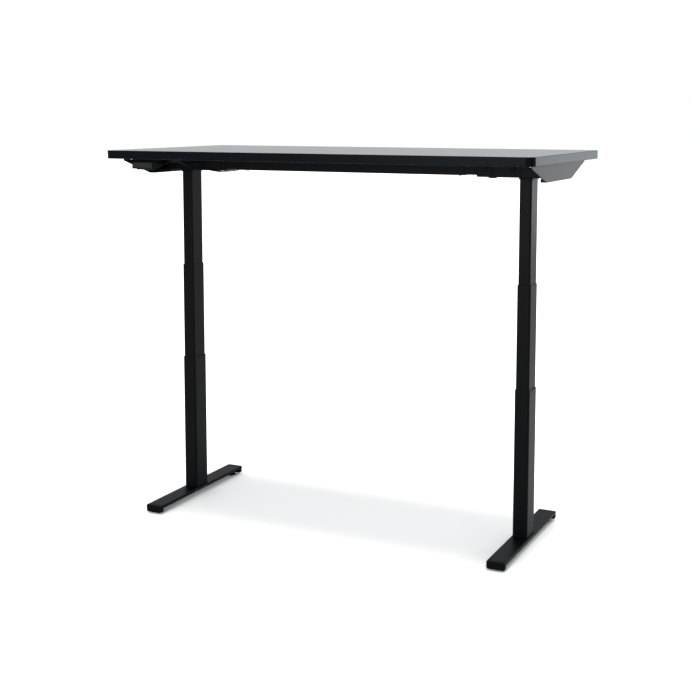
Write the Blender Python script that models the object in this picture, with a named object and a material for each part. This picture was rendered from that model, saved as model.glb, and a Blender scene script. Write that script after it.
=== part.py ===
"""Height adjustable standing desk: laminate top on a telescoping steel frame with two
three-stage lifting columns, drawn raised. Metres, +Z up, +X along the desk, user at -Y.
The origin is on the floor under the centre of the desktop."""
import math

import bmesh
import bpy

for stale in list(bpy.data.objects):
    bpy.data.objects.remove(stale, do_unlink=True)

# Desktop
TOP_WIDTH = 1.500
TOP_DEPTH = 0.750
TOP_THICK = 0.028
TOP_Z = 1.270
TOP_CORNER = 0.028
TOP_EASE = 0.0025
UNDER_Z = TOP_Z - TOP_THICK

# Frame layout
COLUMN_X = 0.628
FRAME_Y = -0.024
GAP = 0.0003
SHEET = 0.0025

# Lifting columns: outline across X, along Y, corner radius, wall
OUTER = (0.050, 0.080, 0.0080, 0.0015)
MIDDLE = (0.045, 0.075, 0.0070, 0.0015)
INNER = (0.040, 0.070, 0.0060, 0.0015)
OUTER_Z = (0.0303, 0.512)
MIDDLE_Z = (0.366, 0.850)
INNER_Z = (0.704, 1.1927)
STAGE_TRAVEL = 0.325
COLLAR_TALL = 0.004
FLANGE_TALL = 0.0045

# Beam and leg heads
BEAM_HALF = 0.036
BEAM_Z = (1.197, 1.2388)
HEAD_Z = (1.193, 1.2388)
HEAD_X = (0.465, 0.7209)
BEAM_END = 0.424
RAIL_START = 0.300
PLATE_THICK = 0.002
BOLT_R = 0.014
BOLT_Z = 1.2225

# Side brackets
BRACKET_X = 0.724
BRACKET_DEEP = 0.021
BRACKET_Z = (1.185, UNDER_Z - GAP)
BRACKET_Y = -0.012
BRACKET_TOP_HALF = 0.291
BRACKET_FOOT_HALF = 0.137
BRACKET_END_TALL = 0.0084
BRACKET_LIP_TALL = 0.012

# Feet
FOOT_WIDE = 0.060
FOOT_HALF = 0.276
FOOT_TOP = 0.030
FOOT_SIDE = 0.010
CAP_LONG = 0.014
CAP_Z0 = 0.005
GLIDE_INSET = 0.032
GLIDE_R = 0.017
GLIDE_TALL = 0.007

# Hand controller under the front left of the top
HANDSET_X = (-0.6545, -0.5705)
HANDSET_FRONT = -0.352
HANDSET_Z = (1.209, 1.232)
BUTTON_PITCH = 0.0155


def fillet(corners, radius, inset=0.0, steps=4):
    """Round a convex counter-clockwise polygon, moved inward by inset."""
    count = len(corners)
    edges = []
    for i in range(count):
        ax, ay = corners[i]
        bx, by = corners[(i + 1) % count]
        length = math.hypot(bx - ax, by - ay)
        dx, dy = (bx - ax) / length, (by - ay) / length
        edges.append((ax - dy * inset, ay + dx * inset, dx, dy))
    points = []
    reach = max(radius - inset, 0.0003)
    for i in range(count):
        px, py, pdx, pdy = edges[i - 1]
        qx, qy, qdx, qdy = edges[i]
        cross = pdx * qdy - pdy * qdx
        along = ((qx - px) * qdy - (qy - py) * qdx) / cross
        cx, cy = px + pdx * along, py + pdy * along
        turn = math.atan2(cross, pdx * qdx + pdy * qdy)
        back = reach * math.tan(turn / 2)
        mx, my = cx - pdx * back - pdy * reach, cy - pdy * back + pdx * reach
        start = math.atan2(-pdx, pdy)
        for step in range(steps + 1):
            angle = start + turn * step / steps
            points.append((mx + reach * math.cos(angle), my + reach * math.sin(angle)))
    return points


def box_outline(width, depth, radius, inset=0.0, steps=4):
    """Corner-rounded rectangle centred on the origin."""
    a, b = width / 2, depth / 2
    return fillet([(-a, -b), (a, -b), (a, b), (-a, b)], radius, inset, steps)


def circle(radius, sides=32):
    """Points of a circle centred on the origin."""
    return [(radius * math.cos(2 * math.pi * i / sides), radius * math.sin(2 * math.pi * i / sides))
            for i in range(sides)]


def skin(name, rings, axis="Z", at=(0.0, 0.0, 0.0), loop=False, smooth=None, centre=(0.0, 0.0)):
    """Solid through a list of (outline, height) rings along an axis, its origin at `at`.
    A loop closes the last ring onto the first, for pipes; otherwise both ends are capped."""
    mesh = bmesh.new()
    made = []
    for outline, height in rings:
        ring = []
        for u, v in outline:
            u, v = u + centre[0], v + centre[1]
            spot = {"Z": (u, v, height), "Y": (u, height, v), "X": (height, u, v)}[axis]
            ring.append(mesh.verts.new([spot[k] - at[k] for k in range(3)]))
        made.append(ring)
    pairs = list(zip(made, made[1:]))
    if loop:
        pairs.append((made[-1], made[0]))
    else:
        mesh.faces.new(made[0])
        mesh.faces.new(made[-1])
    for low, high in pairs:
        for i in range(len(low)):
            j = (i + 1) % len(low)
            mesh.faces.new((low[i], low[j], high[j], high[i]))
    bmesh.ops.recalc_face_normals(mesh, faces=mesh.faces)
    data = bpy.data.meshes.new(name)
    mesh.to_mesh(data)
    mesh.free()
    piece = bpy.data.objects.new(name, data)
    piece.location = at
    bpy.context.collection.objects.link(piece)
    if smooth:
        data.polygons.foreach_set("use_smooth", [True] * len(data.polygons))
        data.set_sharp_from_angle(angle=math.radians(smooth))
    return piece


def turned(name, profile, axis="Z", at=(0.0, 0.0, 0.0), loop=False, sides=32, centre=(0.0, 0.0)):
    """Round piece from (radius, height) pairs along an axis."""
    return skin(name, [(circle(r, sides), h) for r, h in profile], axis, at, loop, 40, centre)


def pipe(name, shape, z0, z1, x, at, grow=0.0):
    """Rounded rectangular steel tube standing up at x."""
    width, depth, radius, wall = shape
    outer = box_outline(width + grow, depth + grow, radius + grow / 2)
    inner = box_outline(width + grow, depth + grow, radius + grow / 2, wall)
    rings = [(outer, z0), (outer, z1), (inner, z1), (inner, z0)]
    return skin(name, rings, at=at, loop=True, smooth=35, centre=(x, FRAME_Y))


def drill(piece, cutters):
    """Cut holes with hidden cutter solids."""
    for cutter in cutters:
        cutter.hide_render = True
        cutter.display_type = "WIRE"
        hole = piece.modifiers.new("hole", "BOOLEAN")
        hole.operation = "DIFFERENCE"
        hole.solver = "EXACT"
        hole.object = cutter


def weld(piece, extras):
    """Join hidden solids onto a piece."""
    for extra in extras:
        extra.hide_render = True
        extra.display_type = "WIRE"
        joint = piece.modifiers.new("weld", "BOOLEAN")
        joint.operation = "UNION"
        joint.solver = "EXACT"
        joint.object = extra


def paint(piece, colour, rough, metal=0.0):
    """Give a piece its own plain material."""
    material = bpy.data.materials.new(piece.name + "_material")
    material.use_nodes = True
    shader = material.node_tree.nodes["Principled BSDF"]
    shader.inputs["Base Color"].default_value = (*colour, 1.0)
    shader.inputs["Roughness"].default_value = rough
    shader.inputs["Metallic"].default_value = metal
    piece.data.materials.append(material)
    return piece


def cable(name, points, radius):
    """Round flexible cable through a list of points."""
    data = bpy.data.curves.new(name, "CURVE")
    data.dimensions = "3D"
    spline = data.splines.new("POLY")
    spline.points.add(len(points) - 1)
    for spot, point in zip(points, spline.points):
        point.co = (*spot, 1.0)
    data.bevel_depth = radius
    data.bevel_resolution = 2
    data.use_fill_caps = True
    piece = bpy.data.objects.new(name, data)
    bpy.context.collection.objects.link(piece)
    return piece


def smooth_path(knots, per_span):
    """Points along a Catmull-Rom curve through the knots."""
    path = []
    for i in range(len(knots) - 1):
        p0 = knots[max(i - 1, 0)]
        p1, p2 = knots[i], knots[i + 1]
        p3 = knots[min(i + 2, len(knots) - 1)]
        for step in range(per_span):
            t = step / per_span
            path.append(tuple(
                0.5 * (2 * p1[k] + (p2[k] - p0[k]) * t
                       + (2 * p0[k] - 5 * p1[k] + 4 * p2[k] - p3[k]) * t * t
                       + (3 * p1[k] - p0[k] - 3 * p2[k] + p3[k]) * t ** 3)
                for k in range(3)))
    path.append(tuple(knots[-1]))
    return path


BLACK_STEEL = (0.012, 0.012, 0.013)
BLACK_TOP = (0.016, 0.016, 0.017)
BLACK_PLASTIC = (0.010, 0.010, 0.011)
ZINC = (0.55, 0.55, 0.56)
STEEL = (0.42, 0.42, 0.43)


def steel(piece):
    return paint(piece, BLACK_STEEL, 0.45)


def plastic(piece, colour=BLACK_PLASTIC):
    return paint(piece, colour, 0.5)


def bright(piece, colour=STEEL):
    return paint(piece, colour, 0.3, 1.0)


def build_top():
    """Desktop board with eased edges and rounded corners."""
    outer = box_outline(TOP_WIDTH, TOP_DEPTH, TOP_CORNER, steps=6)
    eased = box_outline(TOP_WIDTH, TOP_DEPTH, TOP_CORNER, TOP_EASE, steps=6)
    rings = [(eased, UNDER_Z), (outer, UNDER_Z + TOP_EASE), (outer, TOP_Z - TOP_EASE), (eased, TOP_Z)]
    top = skin("desktop", rings, at=(0, 0, UNDER_Z), smooth=35)
    paint(top, BLACK_TOP, 0.4)


def build_beam():
    """Central box beam with a rail sliding out of each end."""
    mid_z = (BEAM_Z[0] + BEAM_Z[1]) / 2
    tall = BEAM_Z[1] - BEAM_Z[0]
    wide = 2 * BEAM_HALF
    outer = box_outline(wide, tall, 0.003)
    inner = box_outline(wide, tall, 0.003, 0.0015)
    rings = [(outer, -BEAM_END), (outer, BEAM_END), (inner, BEAM_END), (inner, -BEAM_END)]
    steel(skin("beam_centre", rings, "X", (0, FRAME_Y, mid_z), True, 35, (FRAME_Y, mid_z)))
    for side, sign in (("left", -1), ("right", 1)):
        rail = box_outline(wide - 0.0036, tall - 0.0036, 0.003)
        hollow = box_outline(wide - 0.0036, tall - 0.0036, 0.003, 0.002)
        near, far = sign * RAIL_START, sign * (HEAD_X[0] - GAP)
        rings = [(rail, near), (rail, far), (hollow, far), (hollow, near)]
        steel(skin("beam_rail_" + side, rings, "X", (near, FRAME_Y, mid_z), True, 35, (FRAME_Y, mid_z)))
        spot = (sign * (BEAM_END - 0.027), FRAME_Y)
        profile = [(0.0045, BEAM_Z[0] - 0.0050), (0.0055, BEAM_Z[0] - 0.0038), (0.0055, BEAM_Z[0] - GAP)]
        bright(turned("beam_screw_" + side, profile, at=(*spot, BEAM_Z[0]), sides=20, centre=spot), ZINC)


def build_head(side, sign):
    """Leg head channel with its drive hole, and the two bolts on its front."""
    long = HEAD_X[1] - HEAD_X[0]
    x = sign * (HEAD_X[0] + HEAD_X[1]) / 2
    wide = 2 * BEAM_HALF
    base = box_outline(long, wide, 0.004, 0.0012)
    outer = box_outline(long, wide, 0.004)
    inner = box_outline(long, wide, 0.004, SHEET)
    rings = [(base, HEAD_Z[0]), (outer, HEAD_Z[0] + 0.0012), (outer, HEAD_Z[1]), (inner, HEAD_Z[1]),
             (inner, HEAD_Z[0] + SHEET)]
    head = skin("leg_head_" + side, rings, at=(x, FRAME_Y, HEAD_Z[0]), smooth=35, centre=(x, FRAME_Y))
    hole = turned("drive_hole_" + side, [(0.016, HEAD_Z[0] - 0.01), (0.016, HEAD_Z[0] + 0.01)],
                  centre=(sign * COLUMN_X, FRAME_Y))
    drill(head, [hole])
    front = FRAME_Y - BEAM_HALF - PLATE_THICK
    plates = []
    for place, inboard, reach in (("outer", 0.045, 0.030), ("inner", 0.135, 0.026)):
        spot = (sign * (COLUMN_X - inboard), BOLT_Z)
        low, high = HEAD_Z[0] + 0.0015 - BOLT_Z, HEAD_Z[1] - 0.0005 - BOLT_Z
        shape = fillet([(-reach, low), (reach, low), (reach, high), (-reach, high)], 0.007)
        plates.append(skin("head_plate_" + side + "_" + place, [(shape, front), (shape, front + 0.003)], "Y",
                           centre=spot))
        profile = [(0.0040, front - 0.0052), (0.0080, front - 0.0048), (0.0115, front - 0.0036),
                   (BOLT_R, front - 0.0014), (BOLT_R, front - GAP)]
        bolt = turned("head_bolt_" + side + "_" + place, profile, "Y", (spot[0], front, spot[1]),
                      sides=28, centre=spot)
        steel(bolt)
    weld(head, plates)
    steel(head)


def slab(name, x_pair, y_pair, z_pair):
    """Square edged plate between pairs of coordinates, to weld on."""
    corners = [(x_pair[0], y_pair[0]), (x_pair[1], y_pair[0]), (x_pair[1], y_pair[1]), (x_pair[0], y_pair[1])]
    return skin(name, [(corners, z_pair[0]), (corners, z_pair[1])])


def build_bracket(side, sign):
    """Pressed side bracket: an upright web with top and bottom flanges turned inboard, the
    bottom flange with a short lip at each end."""
    low, high = BRACKET_Z
    front, back = BRACKET_Y - BRACKET_TOP_HALF, BRACKET_Y + BRACKET_TOP_HALF
    foot_front, foot_back = BRACKET_Y - BRACKET_FOOT_HALF, BRACKET_Y + BRACKET_FOOT_HALF
    corners = [(front, high), (front, high - BRACKET_END_TALL), (foot_front, low), (foot_back, low),
               (back, high - BRACKET_END_TALL), (back, high)]
    outer = fillet(corners, 0.003)
    eased = fillet(corners, 0.003, 0.001)
    face, web, edge = BRACKET_X, BRACKET_X - SHEET, BRACKET_X - BRACKET_DEEP
    rings = [(eased, sign * face), (outer, sign * (face - 0.001)), (outer, sign * web)]
    bracket = skin("side_bracket_" + side, rings, "X", (sign * face, BRACKET_Y, high), smooth=35)
    inboard = (sign * edge, sign * (web + 0.001))
    tucked = 0.0001
    extras = [
        slab("top_flange_" + side, inboard, (front + 0.002, back - 0.002), (high - SHEET, high - tucked)),
        slab("bottom_flange_" + side, inboard, (foot_front + 0.001, foot_back - 0.001),
             (low + tucked, low + SHEET))]
    for end, y, way in (("front", foot_front, 1), ("rear", foot_back, -1)):
        lip = sorted((y + way * 0.0006, y + way * 0.0031))
        extras.append(slab("lip_" + end + "_" + side, (sign * (edge + tucked), sign * (web + 0.0008)), lip,
                           (low + 0.0008, low + BRACKET_LIP_TALL)))
    weld(bracket, extras)
    steel(bracket)


def build_drive(side, sign):
    """Motor, gearbox and the three nested drive pieces inside one column."""
    x = sign * COLUMN_X
    spot = (x, FRAME_Y)
    low, high = HEAD_Z[0] + SHEET + GAP, HEAD_Z[1] - 0.0015
    body = box_outline(0.062, 0.060, 0.004)
    small = box_outline(0.062, 0.060, 0.004, 0.002)
    rings = [(body, low), (body, high - 0.002), (small, high)]
    gearbox = skin("gearbox_" + side, rings, at=(x, FRAME_Y, low), smooth=35, centre=spot)
    bore = turned("gearbox_bore_" + side, [(0.0142, low - 0.01), (0.0142, low + 0.019)], centre=spot)
    drill(gearbox, [bore])
    paint(gearbox, (0.20, 0.20, 0.21), 0.45, 1.0)
    mid = (low + high) / 2
    near = COLUMN_X - 0.031 - GAP
    profile = [(0.0150, sign * near), (0.0150, sign * (near - 0.008)), (0.0200, sign * (near - 0.008)),
               (0.0200, sign * (near - 0.112)), (0.0185, sign * (near - 0.114)),
               (0.0080, sign * (near - 0.114)), (0.0080, sign * (near - 0.120))]
    paint(turned("motor_" + side, profile, "X", (sign * near, FRAME_Y, mid), sides=24, centre=(FRAME_Y, mid)),
          (0.05, 0.05, 0.055), 0.4, 1.0)
    profile = [(0.0135, 0.740), (0.0135, low + 0.016), (0.0110, low + 0.016), (0.0110, 0.740)]
    bright(turned("drive_sleeve_" + side, profile, at=(x, FRAME_Y, 0.740), loop=True, sides=16, centre=spot))
    profile = [(0.0100, 0.368), (0.0100, 0.3746), (0.0140, 0.3746), (0.0140, 0.3776), (0.0100, 0.3776),
               (0.0100, 0.780), (0.0068, 0.780), (0.0068, 0.368)]
    bright(turned("hollow_spindle_" + side, profile, at=(x, FRAME_Y, 0.368), loop=True, sides=16, centre=spot))
    profile = [(0.0170, FOOT_TOP + GAP), (0.0170, 0.034), (0.0060, 0.034), (0.0060, 0.429), (0.0050, 0.431)]
    bright(turned("lead_screw_" + side, profile, at=(x, FRAME_Y, FOOT_TOP), sides=16, centre=spot))
    for name, shape, z, hole_r, drop in (("spindle_bearing_", MIDDLE, MIDDLE_Z[0] + GAP, 0.0104, 0.008),
                                         ("nut_plate_", INNER, INNER_Z[0] + GAP, 0.0108, 0.012)):
        width, depth, radius, wall = shape
        outline = box_outline(width - 2 * wall - 0.0006, depth - 2 * wall - 0.0006, radius - wall)
        plate = skin(name + side, [(outline, z), (outline, z + drop)], at=(x, FRAME_Y, z), smooth=35,
                     centre=spot)
        hole = turned(name + "hole_" + side, [(hole_r, z - 0.01), (hole_r, z + 0.03)], centre=spot)
        drill(plate, [hole])
        plastic(plate, (0.35, 0.35, 0.34))


def build_column(side, sign):
    """Three nested tubes with a glide collar on each of the lower two."""
    x = sign * COLUMN_X
    steel(pipe("outer_tube_" + side, OUTER, *OUTER_Z, x, (x, FRAME_Y, OUTER_Z[0])))
    steel(pipe("middle_tube_" + side, MIDDLE, *MIDDLE_Z, x, (x, FRAME_Y, MIDDLE_Z[0])))
    width, depth, radius, wall = INNER
    shape = box_outline(width, depth, radius)
    plate = box_outline(width + 0.006, depth + 0.006, 0.007)
    bore = box_outline(width, depth, radius, wall)
    low, high = INNER_Z
    step = high - FLANGE_TALL
    rings = [(shape, low), (shape, step), (plate, step), (plate, high), (bore, high), (bore, low)]
    steel(skin("inner_tube_" + side, rings, at=(x, FRAME_Y, low), loop=True, smooth=35, centre=(x, FRAME_Y)))
    for name, holder, held, z in (("lower_collar_", OUTER, MIDDLE, OUTER_Z[1]),
                                  ("upper_collar_", MIDDLE, INNER, MIDDLE_Z[1])):
        clear = box_outline(held[0] + 0.0008, held[1] + 0.0008, held[2] + 0.0004)
        edge = box_outline(holder[0], holder[1], holder[2])
        soft = box_outline(holder[0], holder[1], holder[2], 0.0008)
        rings = [(clear, z + GAP), (edge, z + GAP), (edge, z + COLLAR_TALL - 0.001), (soft, z + COLLAR_TALL),
                 (clear, z + COLLAR_TALL)]
        plastic(skin(name + side, rings, at=(x, FRAME_Y, z), loop=True, smooth=35, centre=(x, FRAME_Y)))


def build_foot(side, sign):
    """Folded steel foot channel with its end caps and levelling glides."""
    x = sign * COLUMN_X
    long = 2 * FOOT_HALF - 2 * CAP_LONG
    wall = 0.003
    outer = box_outline(FOOT_WIDE, long, 0.002)
    eased = box_outline(FOOT_WIDE, long, 0.002, 0.001)
    inner = box_outline(FOOT_WIDE, long, 0.002, wall)
    rings = [(eased, FOOT_TOP), (outer, FOOT_TOP - 0.001), (outer, FOOT_TOP - FOOT_SIDE),
             (inner, FOOT_TOP - FOOT_SIDE), (inner, FOOT_TOP - wall)]
    steel(skin("foot_" + side, rings, at=(x, FRAME_Y, FOOT_TOP), smooth=35, centre=(x, FRAME_Y)))
    for end, way in (("front", -1), ("rear", 1)):
        a = FOOT_WIDE / 2
        corners = [(-a, CAP_Z0), (a, CAP_Z0), (a, FOOT_TOP), (-a, FOOT_TOP)]
        face = fillet(corners, 0.004, 0.0015)
        full = fillet(corners, 0.004)
        hollow = fillet(corners, 0.004, 0.003)
        y0 = FRAME_Y + way * (FOOT_HALF - CAP_LONG + GAP)
        y1 = FRAME_Y + way * FOOT_HALF
        rings = [(face, y1), (full, y1 - way * 0.0015), (full, y0), (hollow, y0), (hollow, y1 - way * 0.004)]
        plastic(skin("foot_cap_" + end + "_" + side, rings, "Y", (x, y0, FOOT_TOP), smooth=35, centre=(x, 0)))
        y = FRAME_Y + way * (FOOT_HALF - GLIDE_INSET)
        profile = [(GLIDE_R - 0.002, 0.0), (GLIDE_R, 0.002), (GLIDE_R, GLIDE_TALL - 0.002),
                   (0.012, GLIDE_TALL), (0.004, GLIDE_TALL), (0.004, FOOT_TOP - wall - GAP)]
        plastic(turned("glide_" + end + "_" + side, profile, at=(x, y, 0.0), sides=24, centre=(x, y)))


def build_handset():
    """Hand controller housing and its row of press buttons."""
    x0, x1 = HANDSET_X
    front, back = HANDSET_FRONT, HANDSET_FRONT + 0.058
    low, high = HANDSET_Z
    top = UNDER_Z - GAP
    corners = [(front, high), (front, low + 0.004), (front + 0.004, low), (front + 0.020, low),
               (back, low + 0.009), (back, top), (front + 0.016, top), (front + 0.016, high)]
    rings = [(corners, x0), (corners, x1)]
    housing = skin("handset_housing", rings, "X", (x0, front, high))
    edge = housing.modifiers.new("edge", "BEVEL")
    edge.width = 0.001
    edge.segments = 2
    edge.limit_method = "ANGLE"
    plastic(housing)
    middle = (x0 + x1) / 2
    for index, label in enumerate(("up", "down", "memory_a", "memory_b")):
        x = middle + (index - 1.5) * BUTTON_PITCH
        y = front + 0.012
        oval = box_outline(0.0105, 0.0110, 0.003)
        soft = box_outline(0.0105, 0.0110, 0.003, 0.001)
        rings = [(soft, low - 0.0030), (oval, low - 0.0020), (oval, low + 0.0010)]
        plastic(skin("button_" + label, rings, at=(x, y, low), smooth=35, centre=(x, y)))
        wall = box_outline(0.0112, 0.0117, 0.0033)
        well = skin("button_well_" + label, [(wall, low - 0.002), (wall, low + 0.0034)], centre=(x, y))
        drill(housing, [well])


def build_electrics():
    """Control box behind the beam, its mains inlet, and the three cables."""
    box_x, box_y = (-0.210, 0.070), (0.034, 0.124)
    z0, z1 = 1.204, UNDER_Z - GAP
    x, y = sum(box_x) / 2, sum(box_y) / 2
    long, wide = box_x[1] - box_x[0], box_y[1] - box_y[0]
    shape = box_outline(long, wide, 0.004)
    soft = box_outline(long, wide, 0.004, 0.0015)
    rings = [(soft, z0), (shape, z0 + 0.0015), (shape, z1)]
    plastic(skin("control_box", rings, at=(x, y, z1), smooth=35, centre=(x, y)))
    mid = (z0 + z1) / 2
    frame = box_outline(0.032, 0.025, 0.003)
    well = box_outline(0.032, 0.025, 0.003, 0.0035)
    face = box_x[1] + GAP
    rings = [(frame, face), (frame, face + 0.010), (well, face + 0.010), (well, face + 0.002)]
    plastic(skin("power_inlet", rings, "X", (face, y, mid), smooth=35, centre=(y, mid)))
    left, cable_z = box_x[0] - 0.0012, mid
    knots = [(HANDSET_X[1] + 0.0022, HANDSET_FRONT + 0.046, 1.224), (-0.556, -0.298, 1.228),
             (-0.552, -0.250, 1.2325), (-0.584, -0.160, 1.2245), (-0.588, -0.095, 1.2065),
             (-0.550, -0.072, 1.1990), (-0.512, -0.070, 1.1935), (-0.492, -0.058, 1.1900),
             (-0.482, -0.022, 1.1898), (-0.470, 0.016, 1.1912), (-0.436, 0.036, 1.202),
             (-0.350, 0.056, 1.219), (-0.270, 0.062, cable_z), (left, 0.062, cable_z)]
    plastic(cable("handset_cable", smooth_path(knots, 4), 0.0018))
    behind = FRAME_Y + BEAM_HALF
    knots = [(-0.474, behind + 0.003, 1.222), (-0.466, behind + 0.012, 1.224), (-0.430, behind + 0.020, 1.230),
             (-0.360, 0.064, 1.233), (-0.290, 0.086, 1.226), (left, 0.084, cable_z)]
    plastic(cable("motor_cable_left", smooth_path(knots, 6), 0.0024))
    knots = [(0.474, behind + 0.003, 1.222), (0.466, behind + 0.014, 1.224), (0.400, behind + 0.028, 1.230),
             (0.300, 0.060, 1.234), (0.180, 0.104, 1.234), (0.110, 0.143, 1.232), (0.020, 0.146, 1.232),
             (-0.120, 0.146, 1.230), (-0.222, 0.146, 1.228), (-0.2365, 0.140, 1.2265), (-0.2425, 0.1255, 1.225),
             (-0.2365, 0.111, 1.2235), (-0.222, 0.105, cable_z), (left, 0.105, cable_z)]
    plastic(cable("motor_cable_right", smooth_path(knots, 4), 0.0024))


build_top()
build_beam()
build_handset()
build_electrics()
for side, sign in (("left", -1), ("right", 1)):
    build_head(side, sign)
    build_bracket(side, sign)
    build_drive(side, sign)
    build_column(side, sign)
    build_foot(side, sign)
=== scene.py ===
"""Looks of a height adjustable standing desk, built piece by piece around its CAD frame.
Metres, +Z up, +X along the desk, user at -Y."""
import math

import bmesh
import bpy
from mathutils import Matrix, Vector


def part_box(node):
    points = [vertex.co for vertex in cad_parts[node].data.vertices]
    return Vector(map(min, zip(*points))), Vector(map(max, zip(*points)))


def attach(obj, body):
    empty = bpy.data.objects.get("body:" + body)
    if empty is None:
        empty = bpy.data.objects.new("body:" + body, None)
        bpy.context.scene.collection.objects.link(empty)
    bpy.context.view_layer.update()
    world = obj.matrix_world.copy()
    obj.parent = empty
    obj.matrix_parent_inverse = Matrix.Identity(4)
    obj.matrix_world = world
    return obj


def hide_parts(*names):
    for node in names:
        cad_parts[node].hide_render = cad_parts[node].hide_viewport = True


bl_info = {
    "name": "Height adjustable standing desk",
    "version": (1, 0, 0),
    "blender": (4, 5, 0),
    "location": "View3D > Sidebar > Standing desk",
    "description": "Builds the visible pieces of a standing desk around its CAD frame",
    "category": "Add Mesh",
}

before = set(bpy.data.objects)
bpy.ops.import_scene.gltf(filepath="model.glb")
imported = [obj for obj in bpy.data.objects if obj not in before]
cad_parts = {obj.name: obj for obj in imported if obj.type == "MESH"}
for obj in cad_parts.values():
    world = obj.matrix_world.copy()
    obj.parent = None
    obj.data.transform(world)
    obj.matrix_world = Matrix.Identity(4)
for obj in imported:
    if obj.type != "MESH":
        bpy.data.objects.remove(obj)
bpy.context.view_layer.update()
SIDES = (("left", -1), ("right", 1))
BRACKET_FOOT_HALF = 0.137
BRACKET_END_TALL = 0.0084
BRACKET_LIP_TALL = 0.012
BRACKET_SCREW_OFFSETS = (-0.262, -0.120, 0.120, 0.262)
CLAMP_BOLT_X = 0.513
CLAMP_BOLT_FORWARD = 0.014
# Plugs in the left end of the control box: name, place along Y, half width.
PLUGS = (("handset", 0.062, 0.0060), ("left_motor", 0.084, 0.0080), ("right_motor", 0.105, 0.0080))
# Clips that hold the cables to the underside: x, y, z, radius of the cable with its slack.
CABLE_CLIPS = ((-0.5565, -0.236, 1.2326, 0.0022), (-0.380, 0.0575, 1.2333, 0.0028),
               (0.300, 0.060, 1.2340, 0.0028), (-0.050, 0.1465, 1.2318, 0.0028))
WORLD_COLOUR = (0.955, 1.0, 1.02, 1.0)
WORLD_STRENGTH = 1.05
SUN_STRENGTH = 3.6
SUN_ANGLE = 20.0
SOFTBOX_COLOUR = (0.92, 1.0, 1.04)
# Softboxes: name, place, target, width and height, brightness.
SOFTBOXES = (("rear_softbox", (1.60, 2.3, 1.55), (0.7, 0.0, 1.15), (0.95, 1.6), 5.2),
             ("front_softbox", (-0.6, -5.4, 1.7), (0.2, 0.0, 1.2), (2.2, 1.7), 16.0))
CAMERA_LENS = 62.98
CAMERA_SHIFT = -0.14
CAMERA_PLACE = (1.7935, -3.7501, 1.3987)
CAMERA_DOWN = 6.525
CAMERA_TURN = 25.682
# Small specular levels: these black finishes are far duller than bare plastic.
FRAME_SPECULAR = 0.033
TOP_SPECULAR = 0.06
BAND_SPECULAR = 0.024


def linear(hex_colour):
    """An sRGB hex colour as linear red, green and blue."""
    values = [int(hex_colour[i:i + 2], 16) / 255 for i in (0, 2, 4)]
    return tuple(v / 12.92 if v <= 0.04045 else ((v + 0.055) / 1.055) ** 2.4 for v in values)


# ---------------------------------------------------------------- sizes and colours

class DeskSizes(bpy.types.PropertyGroup):
    """Sizes that shape the visible pieces."""
    corner_radius: bpy.props.FloatProperty(
        name="Corner radius", description="Plan radius of the desktop's corners", default=0.028,
        unit="LENGTH")
    edge_radius: bpy.props.FloatProperty(
        name="Edge radius", description="Rounding of the edge band", default=0.0022, unit="LENGTH")
    tube_wall: bpy.props.FloatProperty(
        name="Tube wall", description="Wall of the column tubes", default=0.0015, unit="LENGTH")
    sheet: bpy.props.FloatProperty(
        name="Sheet", description="Thickness of the pressed steel pieces", default=0.0025, unit="LENGTH")
    cable: bpy.props.FloatProperty(
        name="Handset cable", description="Diameter of the hand controller's cable", default=0.0036,
        unit="LENGTH")
    motor_cable: bpy.props.FloatProperty(
        name="Motor cable", description="Diameter of each motor's cable", default=0.0048, unit="LENGTH")


class DeskColours(bpy.types.PropertyGroup):
    """Colours of the finishes."""
    laminate: bpy.props.FloatVectorProperty(
        name="Laminate", description="Desktop face", subtype="COLOR", default=linear("05070A"))
    band: bpy.props.FloatVectorProperty(
        name="Edge band", description="Desktop edge", subtype="COLOR", default=linear("040609"))
    coat: bpy.props.FloatVectorProperty(
        name="Powder coat", description="Steel frame", subtype="COLOR", default=linear("030506"))
    plastic: bpy.props.FloatVectorProperty(
        name="Plastic", description="Moulded parts", subtype="COLOR", default=linear("030506"))
    keys: bpy.props.FloatVectorProperty(
        name="Keys", description="Keys of the hand controller", subtype="COLOR", default=linear("121315"))


# ---------------------------------------------------------------- materials

def add(tree, kind, inputs=None, **settings):
    """Add a node with its settings, values and links. A link is a (node, output) pair."""
    made = tree.nodes.new(kind)
    for name, value in settings.items():
        setattr(made, name, value)
    for socket, value in (inputs or {}).items():
        if isinstance(value, tuple) and isinstance(value[0], bpy.types.Node):
            tree.links.new(value[0].outputs[value[1]], made.inputs[socket])
        else:
            made.inputs[socket].default_value = value
    return made


def start_material(name):
    """An empty material, its node tree and its coordinates."""
    material = bpy.data.materials.new(name)
    material.use_nodes = True
    tree = material.node_tree
    tree.nodes.clear()
    return material, tree, add(tree, "ShaderNodeTexCoord")


def shades(colour, amount):
    """A darker and a lighter neighbour of a linear colour."""
    return [(*(c * factor for c in colour), 1.0) for factor in (1 - amount, 1 + amount)]


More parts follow.
